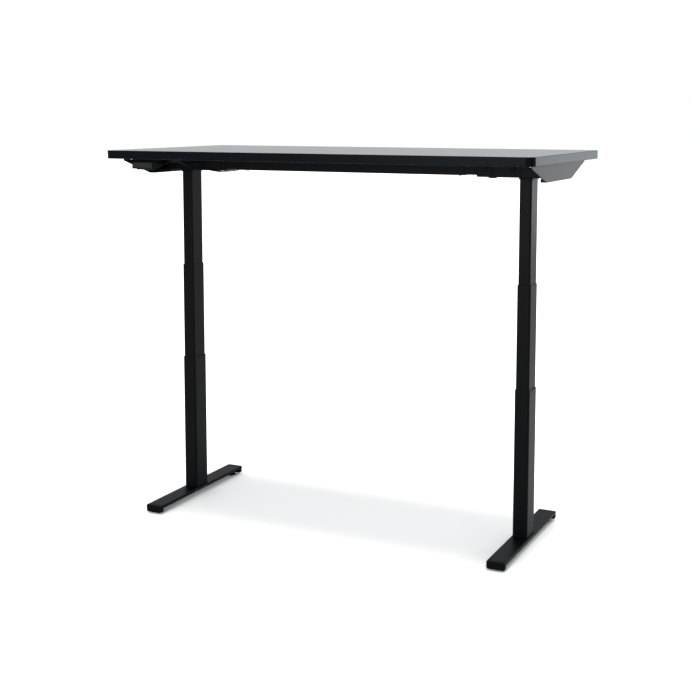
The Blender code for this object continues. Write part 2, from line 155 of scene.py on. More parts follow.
def plastic_like(name, colour, rough, texture_mm, depth, level=0.5, variation=0.12):
    """Matt coloured surface with a fine all-over texture and slightly uneven gloss."""
    material, tree, coords = start_material(name)
    dark, light = shades(colour, variation)
    fine = add(tree, "ShaderNodeTexNoise",
               {"Vector": (coords, "Object"), "Scale": 1000 / texture_mm, "Detail": 3.0, "Roughness": 0.55})
    broad = add(tree, "ShaderNodeTexNoise",
                {"Vector": (coords, "Object"), "Scale": 1000 / 45.0, "Detail": 2.0, "Roughness": 0.55})
    mixed = add(tree, "ShaderNodeMix", {0: (fine, "Fac"), 6: dark, 7: light}, data_type="RGBA")
    uneven = add(tree, "ShaderNodeMapRange", {"Value": (broad, "Fac"), "From Min": 0.3, "From Max": 0.7,
                                              "To Min": rough - 0.005, "To Max": rough + 0.005})
    relief = add(tree, "ShaderNodeBump",
                 {"Height": (fine, "Fac"), "Distance": depth, "Strength": 0.35})
    shader = add(tree, "ShaderNodeBsdfPrincipled",
                 {"Base Color": (mixed, 2), "Roughness": (uneven, "Result"), "Normal": (relief, "Normal"),
                  "IOR": 1.5, "Specular IOR Level": level})
    add(tree, "ShaderNodeOutputMaterial", {"Surface": (shader, "BSDF")})
    return material


def powder_coat():
    """Polyester powder coat, sprayed and baked on steel: a fine grainy skin with a soft sheen.
    The 0.6 mm grain is drawn at 1.2 mm so that it shows."""
    return plastic_like("powder_coat_black_fine_texture", bpy.context.scene.desk_colours.coat,
                        0.42, 1.2, 0.00010, level=FRAME_SPECULAR)


def laminate():
    """Melamine laminate pressed against a pearl plate: flat, matt, with shallow 1 mm dimples."""
    return plastic_like("melamine_laminate_black_pearl", bpy.context.scene.desk_colours.laminate, 0.21, 1.0,
                        0.00005, level=TOP_SPECULAR, variation=0.08)


def edge_band():
    """ABS edging, extruded and buffed: faint lines 0.8 mm apart along the board's edge."""
    material, tree, coords = start_material("abs_edge_band_black")
    dark, light = shades(bpy.context.scene.desk_colours.band, 0.12)
    along = add(tree, "ShaderNodeMapping", {"Vector": (coords, "Object"), "Scale": (0.02, 0.02, 1.0)})
    lines = add(tree, "ShaderNodeTexNoise",
                {"Vector": (along, "Vector"), "Scale": 1000 / 0.8, "Detail": 2.0, "Roughness": 0.55})
    mixed = add(tree, "ShaderNodeMix", {0: (lines, "Fac"), 6: dark, 7: light}, data_type="RGBA")
    shine = add(tree, "ShaderNodeMapRange", {"Value": (lines, "Fac"), "From Min": 0.3, "From Max": 0.7,
                                             "To Min": 0.31, "To Max": 0.37})
    relief = add(tree, "ShaderNodeBump", {"Height": (lines, "Fac"), "Distance": 0.00003, "Strength": 0.3})
    shader = add(tree, "ShaderNodeBsdfPrincipled",
                 {"Base Color": (mixed, 2), "Roughness": (shine, "Result"), "Normal": (relief, "Normal"),
                  "IOR": 1.5, "Specular IOR Level": BAND_SPECULAR})
    add(tree, "ShaderNodeOutputMaterial", {"Surface": (shader, "BSDF")})
    return material


def moulded_plastic():
    """ABS moulded in a spark eroded tool: an even 0.7 mm satin grain."""
    return plastic_like("abs_moulded_black", bpy.context.scene.desk_colours.plastic,
                        0.5, 0.7, 0.00008, level=0.03)


def key_plastic():
    """Soft touch moulded keys, a shade lighter than their case."""
    return plastic_like("soft_touch_keys", bpy.context.scene.desk_colours.keys, 0.6, 0.5, 0.00004, level=0.1)


def handset_face():
    """Satin hard coated film over the hand controller's face, catching more light than its case."""
    return plastic_like("hard_coated_film", linear("15171A"), 0.34, 0.5, 0.00002, level=0.10, variation=0.05)


def nylon():
    """Moulded nylon glide collar: matt, slightly waxy."""
    return plastic_like("nylon_black", bpy.context.scene.desk_colours.plastic, 0.55, 0.9, 0.00005, level=0.06)


def glide_rubber():
    """Hard rubber pad with a dusty matt skin."""
    return plastic_like("glide_rubber", linear("101010"), 0.7, 0.8, 0.00010, level=0.1, variation=0.2)


def cable_sheath():
    """Extruded PVC sheath: smooth satin with faint lengthwise unevenness."""
    return plastic_like("pvc_cable_sheath", linear("050607"), 0.42, 2.0, 0.00006, level=0.02)


def acetal():
    """Natural acetal, machined: off-white, waxy, with fine turning lines."""
    return plastic_like("acetal_natural", linear("B9B6AD"), 0.4, 0.8, 0.00004, variation=0.05)


def metal(name, colour, rough, line_mm, stretch, depth, variation=0.08):
    """Bare or plated metal with fine tool lines, stretched along an axis if asked."""
    material, tree, coords = start_material(name)
    dark, light = shades(linear(colour), variation)
    along = add(tree, "ShaderNodeMapping", {"Vector": (coords, "Object"), "Scale": stretch})
    lines = add(tree, "ShaderNodeTexNoise",
                {"Vector": (along, "Vector"), "Scale": 1000 / line_mm, "Detail": 3.0, "Roughness": 0.55})
    mixed = add(tree, "ShaderNodeMix", {0: (lines, "Fac"), 6: dark, 7: light}, data_type="RGBA")
    uneven = add(tree, "ShaderNodeMapRange", {"Value": (lines, "Fac"), "From Min": 0.3, "From Max": 0.7,
                                              "To Min": rough - 0.05, "To Max": rough + 0.05})
    relief = add(tree, "ShaderNodeBump", {"Height": (lines, "Fac"), "Distance": depth, "Strength": 0.4})
    shader = add(tree, "ShaderNodeBsdfPrincipled",
                 {"Base Color": (mixed, 2), "Roughness": (uneven, "Result"), "Normal": (relief, "Normal"),
                  "Metallic": 1.0})
    add(tree, "ShaderNodeOutputMaterial", {"Surface": (shader, "BSDF")})
    return material


def zinc():
    """Clear passivated zinc plate on steel: pale and slightly mottled."""
    return metal("zinc_plated_steel", "B4B6B8", 0.34, 1.5, (1.0, 1.0, 1.0), 0.00003, 0.12)


def black_zinc():
    """Black passivated zinc plate on steel: dark grey, with a soft shine."""
    return metal("black_zinc_plated_steel", "4A4C4E", 0.4, 1.5, (1.0, 1.0, 1.0), 0.00003, 0.12)


def turned_steel():
    """Turned steel, lightly oiled: rings about 0.4 mm apart round the shaft, drawn at 0.8 mm."""
    return metal("turned_steel", "8E9092", 0.28, 0.8, (0.04, 0.04, 1.0), 0.00004)


def blackened_can():
    """Deep drawn steel motor can with a dark oxide."""
    return metal("blackened_motor_can", "3A3B3E", 0.42, 1.2, (1.0, 0.1, 0.1), 0.00003)


def cast_alloy():
    """Pressure die cast zinc alloy: dull, with a 1.5 mm orange peel."""
    return metal("die_cast_housing", "77797B", 0.5, 1.5, (1.0, 1.0, 1.0), 0.00010)


def studio_floor():
    """Painted studio floor: even, matt, almost white, with a trace of roller texture 30 mm apart."""
    material, tree, coords = start_material("painted_floor")
    roller = add(tree, "ShaderNodeTexNoise",
                 {"Vector": (coords, "Object"), "Scale": 1000 / 30.0, "Detail": 3.0, "Roughness": 0.55})
    mixed = add(tree, "ShaderNodeMix", {0: (roller, "Fac"), 6: (*linear("ECE8E6"), 1.0),
                                        7: (*linear("EDE9E7"), 1.0)}, data_type="RGBA")
    shader = add(tree, "ShaderNodeBsdfPrincipled",
                 {"Base Color": (mixed, 2), "Roughness": 0.9, "IOR": 1.5, "Specular IOR Level": 0.1})
    add(tree, "ShaderNodeOutputMaterial", {"Surface": (shader, "BSDF")})
    return material


def black_card():
    """Matt black foam card with a faint fibre."""
    return plastic_like("black_foam_card", linear("050505"), 0.9, 4.0, 0.00020, level=0.0, variation=0.2)


FINISHES = {
    "coat": powder_coat, "laminate": laminate, "band": edge_band, "abs": moulded_plastic, "keys": key_plastic,
    "face": handset_face, "nylon": nylon, "rubber": glide_rubber, "sheath": cable_sheath, "acetal": acetal,
    "zinc": zinc, "black_zinc": black_zinc, "turned": turned_steel, "can": blackened_can, "cast": cast_alloy,
    "floor": studio_floor, "card": black_card,
}
made_finishes = {}


def finish(key):
    """The material of a finish, made once."""
    if key not in made_finishes:
        made_finishes[key] = FINISHES[key]()
    return made_finishes[key]


# ---------------------------------------------------------------- modelling by hand, in steps

def rest():
    """Leave edit mode and select nothing."""
    if bpy.context.mode != "OBJECT":
        bpy.ops.object.mode_set(mode="OBJECT")
    bpy.ops.object.select_all(action="DESELECT")


def use(piece):
    """Work on one piece only."""
    rest()
    piece.select_set(True)
    bpy.context.view_layer.objects.active = piece


def settle(name):
    """Name the new primitive and put its place into its mesh."""
    piece = bpy.context.object
    piece.name = name
    piece.data.name = name
    bpy.ops.object.transform_apply(location=True, rotation=True, scale=True)
    return piece


def block(name, low, high):
    """A box between two corners, ready to be shaped."""
    rest()
    middle = [(a + b) / 2 for a, b in zip(low, high)]
    bpy.ops.mesh.primitive_cube_add(size=1, location=middle, scale=[abs(b - a) for a, b in zip(low, high)])
    return settle(name)


FACING = {"X": (0, math.pi / 2, 0), "Y": (math.pi / 2, 0, 0), "Z": (0, 0, 0)}


def disc(name, centre, radius, length, axis="Z", sides=48):
    """A round or many sided bar centred at a point, ready to be shaped."""
    rest()
    bpy.ops.mesh.primitive_cylinder_add(vertices=sides, radius=radius, depth=length, location=centre,
                                        rotation=FACING[axis])
    return settle(name)


def pick(piece, kind, test):
    """In edit mode, select the faces or edges whose centre and direction pass a test."""
    use(piece)
    bpy.ops.object.mode_set(mode="EDIT")
    bpy.ops.mesh.select_mode(type=kind)
    bpy.ops.mesh.select_all(action="DESELECT")
    mesh = bmesh.from_edit_mesh(piece.data)
    if kind == "FACE":
        found = [f for f in mesh.faces if test(f.calc_center_median(), f.normal)]
    else:
        found = [e for e in mesh.edges
                 if test((e.verts[0].co + e.verts[1].co) / 2, (e.verts[1].co - e.verts[0].co).normalized())]
    for part in found:
        part.select_set(True)
    bmesh.update_edit_mesh(piece.data)


def round_edges(piece, radius, segments, test):
    """Bevel the edges that pass a test."""
    pick(piece, "EDGE", test)
    bpy.ops.mesh.bevel(offset=radius, segments=segments, affect="EDGES")
    rest()


def open_up(piece, test):
    """Delete the faces that pass a test."""
    pick(piece, "FACE", test)
    bpy.ops.mesh.delete(type="FACE")
    rest()


def modify(piece, kind, **settings):
    """Add a modifier with its settings and apply it."""
    use(piece)
    modifier = piece.modifiers.new(kind.lower(), kind)
    for name, value in settings.items():
        setattr(modifier, name, value)
    bpy.ops.object.modifier_apply(modifier=modifier.name)
    rest()


def thicken(piece, wall):
    """Give a shell its wall, inwards."""
    modify(piece, "SOLIDIFY", thickness=wall, offset=-1.0, use_even_offset=True, use_quality_normals=True)


def soften(piece, width, segments=2, angle=40.0):
    """Break the sharp edges with a small radius."""
    modify(piece, "BEVEL", width=width, segments=segments, limit_method="ANGLE",
           angle_limit=math.radians(angle), harden_normals=False)


def cut(piece, cutter, operation="DIFFERENCE"):
    """Cut one piece with another, which is used up."""
    modify(piece, "BOOLEAN", operation=operation, solver="EXACT", object=cutter)
    bpy.data.objects.remove(cutter)


def shade(piece, angle=32.0):
    """Smooth shading that keeps real edges, and keeps the big flat faces flat."""
    use(piece)
    bpy.ops.object.shade_smooth_by_angle(angle=math.radians(angle))
    modify(piece, "WEIGHTED_NORMAL", keep_sharp=True, weight=80)


def join(pieces):
    """Make several solids one piece, named as the first."""
    use(pieces[0])
    for piece in pieces[1:]:
        piece.select_set(True)
    bpy.ops.object.join()
    return bpy.context.object


def twin(piece, name, shift=(0, 0, 0), mirrored=False):
    """A copy with its own mesh, moved, or mirrored to the other end of the desk."""
    use(piece)
    bpy.ops.object.duplicate()
    copy = bpy.context.object
    copy.name = name
    copy.data.name = name
    if mirrored:
        bpy.ops.transform.resize(value=(-1, 1, 1), center_override=(0, 0, 0))
    bpy.ops.transform.translate(value=shift)
    bpy.ops.object.transform_apply(location=True, rotation=True, scale=True)
    if mirrored:
        bpy.ops.object.mode_set(mode="EDIT")
        bpy.ops.mesh.select_all(action="SELECT")
        bpy.ops.mesh.normals_make_consistent(inside=False)
    rest()
    return copy


def place(piece, body, key, *nodes):
    """Give a piece its finish and slot, let it move with its CAD body, and hide the nodes it stands for."""
    if not piece.data.materials:
        piece.data.materials.append(finish(key))
    if piece.type == "MESH":
        shade(piece)
    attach(piece, body)
    if nodes:
        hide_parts(*nodes)
    return piece


def place_both(piece, body, key, *nodes):
    """Place a piece of the right end and its mirrored twin at the left end, named to match."""
    name, other_body, *others = (text.replace("right", "left") for text in (piece.name, body, *nodes))
    left = twin(piece, name, mirrored=True)
    place(piece, body, key, *nodes)
    place(left, other_body, key, *others)


def spot(node):
    """Middle of a CAD node."""
    low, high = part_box(node)
    return (low + high) / 2


def at_value(value, target, slack=0.0002):
    """Whether two lengths are the same, within a fifth of a millimetre."""
    return abs(value - target) < slack


# ---------------------------------------------------------------- pieces

class DESK_OT_top(bpy.types.Operator):
    """Laminated board with a rounded edge band and a fine seam where the two meet"""
    bl_idname = "desk.add_top"
    bl_label = "Desktop"

    def execute(self, context):
        sizes = context.scene.desk_sizes
        low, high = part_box("desktop")
        board = block("desktop_board", low, high)
        round_edges(board, sizes.corner_radius, 12, lambda c, d: abs(d.z) > 0.9)
        round_edges(board, sizes.edge_radius, 4,
                    lambda c, d: at_value(c.z, high.z) or at_value(c.z, low.z))
        # The seam is a shallow groove just inside the edge band.
        pick(board, "FACE", lambda c, n: n.z > 0.999)
        bpy.ops.mesh.inset(thickness=0.0004)
        bpy.ops.mesh.inset(thickness=0.00025, depth=-0.00015)
        bpy.ops.mesh.inset(thickness=0.00025, depth=0.00015)
        rest()
        board.data.materials.append(finish("laminate"))
        board.data.materials.append(finish("band"))
        for face in board.data.polygons:
            face.material_index = 0 if abs(face.normal.z) > 0.999 and face.area > 0.1 else 1
        place(board, "top", "laminate", "desktop")
        return {"FINISHED"}


class DESK_OT_beam(bpy.types.Operator):
    """Telescoping crossbeam: centre tube, sliding rails and their clamping screws"""
    bl_idname = "desk.add_beam"
    bl_label = "Crossbeam"

    def tube(self, name, low, high, radius, wall):
        """Rounded rectangular tube along X, with clean cut ends."""
        tube = block(name, low, high)
        round_edges(tube, radius, 5, lambda c, d: abs(d.x) > 0.9)
        open_up(tube, lambda c, n: abs(n.x) > 0.9)
        thicken(tube, wall)
        return tube

    def execute(self, context):
        low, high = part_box("beam_centre")
        centre = self.tube("crossbeam_tube", low, high, 0.004, 0.0015)
        middle_y = (low.y + high.y) / 2
        for sign in (-1, 1):
            for step in range(3):
                x = sign * (0.20 + 0.07 * step)
                slot = block("slot", (x - 0.011, middle_y - 0.0035, low.z - 0.005),
                             (x + 0.011, middle_y + 0.0035, low.z + 0.005))
                round_edges(slot, 0.0034, 4, lambda c, d: abs(d.z) > 0.9)
                cut(centre, slot)
        soften(centre, 0.0004)
        place(centre, "top", "coat", "beam_centre")
        low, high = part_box("beam_rail_right")
        rail = self.tube("crossbeam_rail_right", low, high, 0.004, 0.002)
        soften(rail, 0.0004)
        place_both(rail, "top", "coat", "beam_rail_right")
        low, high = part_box("beam_screw_right")
        at = spot("beam_screw_right")
        head = disc("beam_screw_head_right", at, (high.x - low.x) / 2, high.z - low.z)
        cross = [block("cross", at - Vector((x, y, 0.0030)), at + Vector((x, y, -0.0003)))
                 for x, y in ((0.0032, 0.0006), (0.0006, 0.0032))]
        round_edges(head, 0.0014, 3, lambda c, d: c.z < at.z and abs(d.z) < 0.1)
        for blade in cross:
            cut(head, blade)
        place_both(head, "top", "zinc", "beam_screw_right")
        return {"FINISHED"}


class DESK_OT_heads(bpy.types.Operator):
    """Leg heads: folded channels with bolted front plates"""
    bl_idname = "desk.add_heads"
    bl_label = "Leg heads"

    def execute(self, context):
        sheet = context.scene.desk_sizes.sheet
        low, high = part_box("leg_head_right")
        front = low.y + 0.002
        channel = block("leg_head_channel_right", (low.x, front, low.z), (high.x, high.y, high.z))
        round_edges(channel, 0.004, 4, lambda c, d: abs(d.z) > 0.9)
        round_edges(channel, 0.0025, 3, lambda c, d: at_value(c.z, low.z))
        open_up(channel, lambda c, n: n.z > 0.9)
        thicken(channel, sheet)
        column = spot("inner_tube_right")
        cut(channel, disc("drive_hole", (column.x, column.y, low.z), 0.016, 0.02))
        soften(channel, 0.0004)
        place_both(channel, "top", "coat", "leg_head_right")
        self.clamp_bolt(low.z)
        for which, half, sign in (("outer", 0.030, -1), ("inner", 0.026, 1)):
            node = "head_bolt_right_" + which
            at = spot(node)
            plate = block("head_plate_right_" + which, (at.x - half, low.y, low.z + 0.0015),
                          (at.x + half, front - 0.00005, high.z - 0.0005))
            round_edges(plate, 0.012, 6,
                        lambda c, d: abs(d.y) > 0.9 and c.z < at.z and (c.x - at.x) * sign > 0)
            round_edges(plate, 0.003, 3,
                        lambda c, d: abs(d.y) > 0.9 and c.z < at.z and (c.x - at.x) * sign < -0.02)
            soften(plate, 0.0006, 2)
            place_both(plate, "top", "coat")
            bolt_low, bolt_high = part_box(node)
            radius = (bolt_high.x - bolt_low.x) / 2
            face = bolt_high.y - 0.0014
            bolt = disc("bolt_head_right_" + which, (at.x, (face + bolt_high.y) / 2, at.z), radius,
                        bolt_high.y - face, "Y", 56)
            pick(bolt, "FACE", lambda c, n: n.y < -0.9)
            bpy.ops.mesh.inset(thickness=0.0026)
            bpy.ops.mesh.extrude_region_move(TRANSFORM_OT_translate={"value": (0, bolt_low.y - face, 0)})
            bpy.ops.transform.resize(value=(0.78, 1, 0.78))
            rest()
            round_edges(bolt, 0.0012, 4, lambda c, d: at_value(c.y, bolt_low.y) and abs(d.y) < 0.1)
            soften(bolt, 0.0003, 2, 50)
            cut(bolt, disc("hex", (at.x, bolt_low.y, at.z), 0.0034, 0.006, "Y", 6))
            place_both(bolt, "top", "coat", node)
        return {"FINISHED"}

    def clamp_bolt(self, under):
        """Low flanged bolt that clamps the beam's rail into the head from below."""
        x, y = CLAMP_BOLT_X, spot("inner_tube_right").y - CLAMP_BOLT_FORWARD
        bolt = disc("clamp_bolt_right", (x, y, under - 0.0008), 0.018, 0.0014, "Z", 64)
        pick(bolt, "FACE", lambda c, n: n.z < -0.9)
        bpy.ops.mesh.inset(thickness=0.0050)
        bpy.ops.mesh.extrude_region_move(TRANSFORM_OT_translate={"value": (0, 0, -0.0022)})
        bpy.ops.transform.resize(value=(0.85, 0.85, 1))
        rest()
        soften(bolt, 0.0004, 2, 50)
        cut(bolt, disc("hex", (x, y, under - 0.0035), 0.0034, 0.0036, "Z", 6))
        place_both(bolt, "top", "coat")


class DESK_OT_brackets(bpy.types.Operator):
    """Pressed side brackets with sloping ends, and the wood screws that hold them"""
    bl_idname = "desk.add_brackets"
    bl_label = "Side brackets"

    def execute(self, context):
        sheet = context.scene.desk_sizes.sheet
        low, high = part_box("side_bracket_right")
        middle = (low.y + high.y) / 2
        web = high.x - sheet
        pan = block("side_bracket_pan_right", (web, low.y, low.z), high)
        for way in (-1, 1):
            end = Vector((0, middle + way * (high.y - middle), high.z - BRACKET_END_TALL))
            foot = Vector((0, middle + way * BRACKET_FOOT_HALF, low.z))
            run = end - foot
            use(pan)
            bpy.ops.object.mode_set(mode="EDIT")
            bpy.ops.mesh.select_all(action="SELECT")
            bpy.ops.mesh.bisect(plane_co=foot, plane_no=(0, way * run.z, -way * run.y), use_fill=True,
                                clear_outer=True)
            rest()
        round_edges(pan, 0.003, 4, lambda c, d: abs(d.x) > 0.9)
        round_edges(pan, 0.0012, 4, lambda c, d: at_value(c.x, high.x) and abs(d.x) < 0.1)
        reach, lip = BRACKET_FOOT_HALF - 0.001, BRACKET_FOOT_HALF - 0.0006
        flanges = [((low.y + 0.002, high.y - 0.002), (high.z - sheet, high.z - 0.0001)),
                   ((middle - reach, middle + reach), (low.z + 0.0001, low.z + sheet)),
                   ((middle - lip, middle - lip + 0.0025), (low.z + 0.0008, low.z + BRACKET_LIP_TALL)),
                   ((middle + lip - 0.0025, middle + lip), (low.z + 0.0008, low.z + BRACKET_LIP_TALL))]
        for index, (y, z) in enumerate(flanges):
            step = 0.0001 * index
            flange = block("flange", (low.x + step, y[0], z[0]), (web + 0.0010 - step, y[1], z[1]))
            cut(pan, flange, "UNION")
        soften(pan, 0.0005)
        place_both(pan, "top", "coat", "side_bracket_right")
        y_places = [middle + offset for offset in BRACKET_SCREW_OFFSETS]
        x, z = low.x + 0.009, high.z - sheet
        screw = disc("bracket_screw_right_0", (x, y_places[0], z - 0.0013), 0.0046, 0.0026, "Z", 32)
        round_edges(screw, 0.0015, 3, lambda c, d: c.z < z - 0.0015 and abs(d.z) < 0.1)
        for size in ((0.0028, 0.0005), (0.0005, 0.0028)):
            cut(screw, block("cross", (x - size[0], y_places[0] - size[1], z - 0.004),
                             (x + size[0], y_places[0] + size[1], z - 0.0012)))
        screws = [screw]
        for index, y in enumerate(y_places[1:], 1):
            screws.append(twin(screw, f"bracket_screw_right_{index}", (0, y - y_places[0], 0)))
        for piece in screws:
            place_both(piece, "top", "zinc")
        return {"FINISHED"}


class DESK_OT_columns(bpy.types.Operator):
    """Three nested tubes in each lifting column, with glide collars and the top flange"""
    bl_idname = "desk.add_columns"
    bl_label = "Lifting columns"

    def execute(self, context):
        wall = context.scene.desk_sizes.tube_wall
        flange = 0.0045
        stages = (("outer", "base_right", 0.008), ("middle", "middle_right", 0.007), ("inner", "top", 0.006))
        for stage, body, radius in stages:
            node = stage + "_tube_right"
            low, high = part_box(node)
            trim = 0.003 if stage == "inner" else 0.0
            stop = high.z - (flange if stage == "inner" else 0.0)
            tube = block("column_" + node, (low.x + trim, low.y + trim, low.z),
                         (high.x - trim, high.y - trim, stop))
            round_edges(tube, radius, 8, lambda c, d: abs(d.z) > 0.9)
            open_up(tube, lambda c, n: abs(n.z) > 0.9)
            thicken(tube, wall)
            soften(tube, 0.0003)
            place_both(tube, body, "coat", node)
            if stage == "inner":
                plate = block("column_flange_right", (low.x, low.y, stop), (high.x, high.y, high.z))
                round_edges(plate, 0.007, 6, lambda c, d: abs(d.z) > 0.9)
                soften(plate, 0.0005)
                place_both(plate, "top", "coat")
        collars = (("lower", "base_right", "middle", 0.008), ("upper", "middle_right", "inner", 0.007))
        for which, body, held, radius in collars:
            low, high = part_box(which + "_collar_right")
            inner_low, inner_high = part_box(held + "_tube_right")
            trim = 0.003 if held == "inner" else 0.0
            slack = Vector((0.0004 - trim, 0.0004 - trim, 0))
            collar = block("glide_collar_" + which + "_right", low, high)
            round_edges(collar, radius, 8, lambda c, d: abs(d.z) > 0.9)
            round_edges(collar, 0.0012, 3, lambda c, d: at_value(c.z, high.z) and abs(d.z) < 0.1)
            bore_low = Vector((inner_low.x, inner_low.y, low.z - 0.01)) - slack
            bore_high = Vector((inner_high.x, inner_high.y, high.z + 0.01)) + slack
            bore = block("bore", bore_low, bore_high)
            round_edges(bore, radius - 0.0006, 8, lambda c, d: abs(d.z) > 0.9)
            cut(collar, bore)
            place_both(collar, body, "nylon", which + "_collar_right")
        return {"FINISHED"}


class DESK_OT_feet(bpy.types.Operator):
    """Folded foot channels, end caps, side screws and levelling glides"""
    bl_idname = "desk.add_feet"
    bl_label = "Feet"

    def execute(self, context):
        low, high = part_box("foot_right")
        channel = block("foot_channel_right", low, high)
        round_edges(channel, 0.002, 3, lambda c, d: abs(d.z) > 0.9)
        round_edges(channel, 0.0018, 4, lambda c, d: at_value(c.z, high.z))
        open_up(channel, lambda c, n: n.z < -0.9)
        thicken(channel, 0.003)
        soften(channel, 0.0004)
        place_both(channel, "base_right", "coat", "foot_right")
        for end, way in (("front", -1), ("rear", 1)):
            self.cap(end, way)
            self.glide(end)
        column = spot("outer_tube_right")
        middle = (low.z + high.z) / 2
        for index, y in enumerate((column.y - 0.046, column.y + 0.014)):
            for edge, x in (("in", low.x), ("out", high.x)):
                sign = -1 if edge == "in" else 1
                head = disc(f"foot_screw_right_{edge}_{index}", (x + sign * 0.0007, y, middle),
                            0.0030, 0.0014, "X", 28)
                round_edges(head, 0.0009, 3,
                            lambda c, d: (c.x - x) * sign > 0.001 and abs(d.x) < 0.1)
                cut(head, disc("hex", (x + sign * 0.0014, y, middle), 0.0014, 0.0012, "X", 6))
                place_both(head, "base_right", "black_zinc")
        return {"FINISHED"}

    def cap(self, end, way):
        """Moulded cap over the end of a foot, rounded below, hollow behind."""
        node = "foot_cap_" + end
        low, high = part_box(node + "_right")
        outside = low.y if way < 0 else high.y
        cap = block(node + "_moulding_right", low, high)
        round_edges(cap, 0.0055, 6, lambda c, d: abs(d.y) > 0.9 and at_value(c.z, low.z))
        round_edges(cap, 0.0015, 3, lambda c, d: abs(d.y) > 0.9 and at_value(c.z, high.z))
        round_edges(cap, 0.0012, 4, lambda c, d: at_value(c.y, outside) and abs(d.y) < 0.1)
        pick(cap, "FACE", lambda c, n: n.y * way < -0.9)
        bpy.ops.mesh.inset(thickness=0.003)
        bpy.ops.mesh.extrude_region_move(TRANSFORM_OT_translate={"value": (0, way * 0.0095, 0)})
        rest()
        place_both(cap, "base_right", "abs", node + "_right")

    def glide(self, end):
        """Levelling glide: rubber pad, threaded stud and lock nut."""
        node = "glide_" + end
        low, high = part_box(node + "_right")
        at = spot(node + "_right")
        radius = (high.x - low.x) / 2
        pad = disc(node + "_pad_right", (at.x, at.y, 0.0035), radius, 0.007, "Z", 64)
        round_edges(pad, 0.0016, 4, lambda c, d: abs(d.z) < 0.1)
        pick(pad, "FACE", lambda c, n: n.z > 0.9)
        bpy.ops.mesh.inset(thickness=0.005)
        bpy.ops.mesh.extrude_region_move(TRANSFORM_OT_translate={"value": (0, 0, 0.0008)})
        rest()
        stud = disc(node + "_stud_right", (at.x, at.y, (0.007 + high.z) / 2), 0.004, high.z - 0.007, "Z", 24)
        pick(stud, "FACE", lambda c, n: n.z > 0.9)
        bpy.ops.mesh.inset(thickness=0.0008, depth=0.0006)
        rest()
        nut = disc(node + "_nut_right", (at.x, at.y, 0.0115), 0.0075, 0.006, "Z", 6)
        soften(nut, 0.0006, 3)
        body = node + "_right"
        place_both(pad, body, "rubber", body)
        place_both(stud, body, "zinc")
        place_both(nut, body, "zinc")


class DESK_OT_handset(bpy.types.Operator):
    """Hand controller: moulded case with a filmed face, and four keys along its lower edge"""
    bl_idname = "desk.add_handset"
    bl_label = "Hand controller"

    def execute(self, context):
        low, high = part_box("handset_housing")
        shoulder = low.z + 0.023
        case = block("handset_case", low, (high.x, high.y, shoulder))
        use(case)
        bpy.ops.object.mode_set(mode="EDIT")
        bpy.ops.mesh.select_all(action="SELECT")
        bpy.ops.mesh.bisect(plane_co=(0, low.y + 0.020, 0), plane_no=(0, 1, 0))
        rest()
        pick(case, "EDGE", lambda c, d: at_value(c.y, high.y) and at_value(c.z, low.z))
        bpy.ops.transform.translate(value=(0, 0, 0.009))
        rest()
        round_edges(case, 0.0035, 4, lambda c, d: at_value(c.y, low.y) and at_value(c.z, low.z))
        round_edges(case, 0.0030, 4, lambda c, d: abs(d.z) > 0.9)
        soften(case, 0.0010, 3, 50)
        neck = block("handset_neck", (low.x + 0.004, low.y + 0.016, shoulder - 0.0005),
                     (high.x - 0.004, high.y - 0.004, high.z))
        round_edges(neck, 0.004, 4, lambda c, d: abs(d.z) > 0.9)
        names = ("up", "down", "memory_a", "memory_b")
        for name in names:
            key_low, key_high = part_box("button_" + name)
            well = block("well", key_low - Vector((0.0004, 0.0004, 0.01)),
                         key_high + Vector((0.0004, 0.0004, 0.0022)))
            round_edges(well, 0.0033, 5, lambda c, d: abs(d.z) > 0.9)
            cut(case, well)
        place(case, "top", "abs", "handset_housing")
        place(neck, "top", "abs")
        film = block("handset_film", (low.x + 0.0035, low.y - 0.00025, low.z + 0.0042),
                     (high.x - 0.0035, low.y + 0.0010, shoulder - 0.0022))
        round_edges(film, 0.0018, 4, lambda c, d: abs(d.y) > 0.9)
        soften(film, 0.0002, 2, 50)
        place(film, "top", "face")
        for index, name in enumerate(names):
            self.key(name, index)
        return {"FINISHED"}

    def key(self, name, index):
        """One soft key with a raised mark: arrows for up and down, dots for the two memories."""
        key_low, key_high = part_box("button_" + name)
        at = spot("button_" + name)
        cap = block("key_" + name, key_low, key_high)
        round_edges(cap, 0.003, 5, lambda c, d: abs(d.z) > 0.9)
        round_edges(cap, 0.0010, 3, lambda c, d: at_value(c.z, key_low.z) and abs(d.z) < 0.1)
        marks = []
        if index < 2:
            mark = disc("arrow", (at.x, at.y, key_low.z), 0.0024, 0.0005, "Z", 3)
            # The arrow for up points to the front edge, which is upwards for someone reading it from below.
            if name == "up":
                use(mark)
                bpy.ops.transform.rotate(value=math.pi, orient_axis="Z", center_override=at)
                bpy.ops.object.transform_apply(location=True, rotation=True, scale=True)
            marks.append(mark)
        for dot in range(index - 1 if index > 1 else 0):
            x = at.x + (dot - (index - 2) / 2) * 0.0026
            marks.append(disc("dot", (x, at.y, key_low.z), 0.0009, 0.0005, "Z", 20))
        cap = join([cap] + marks)
        place(cap, "button_" + name, "keys", "button_" + name)


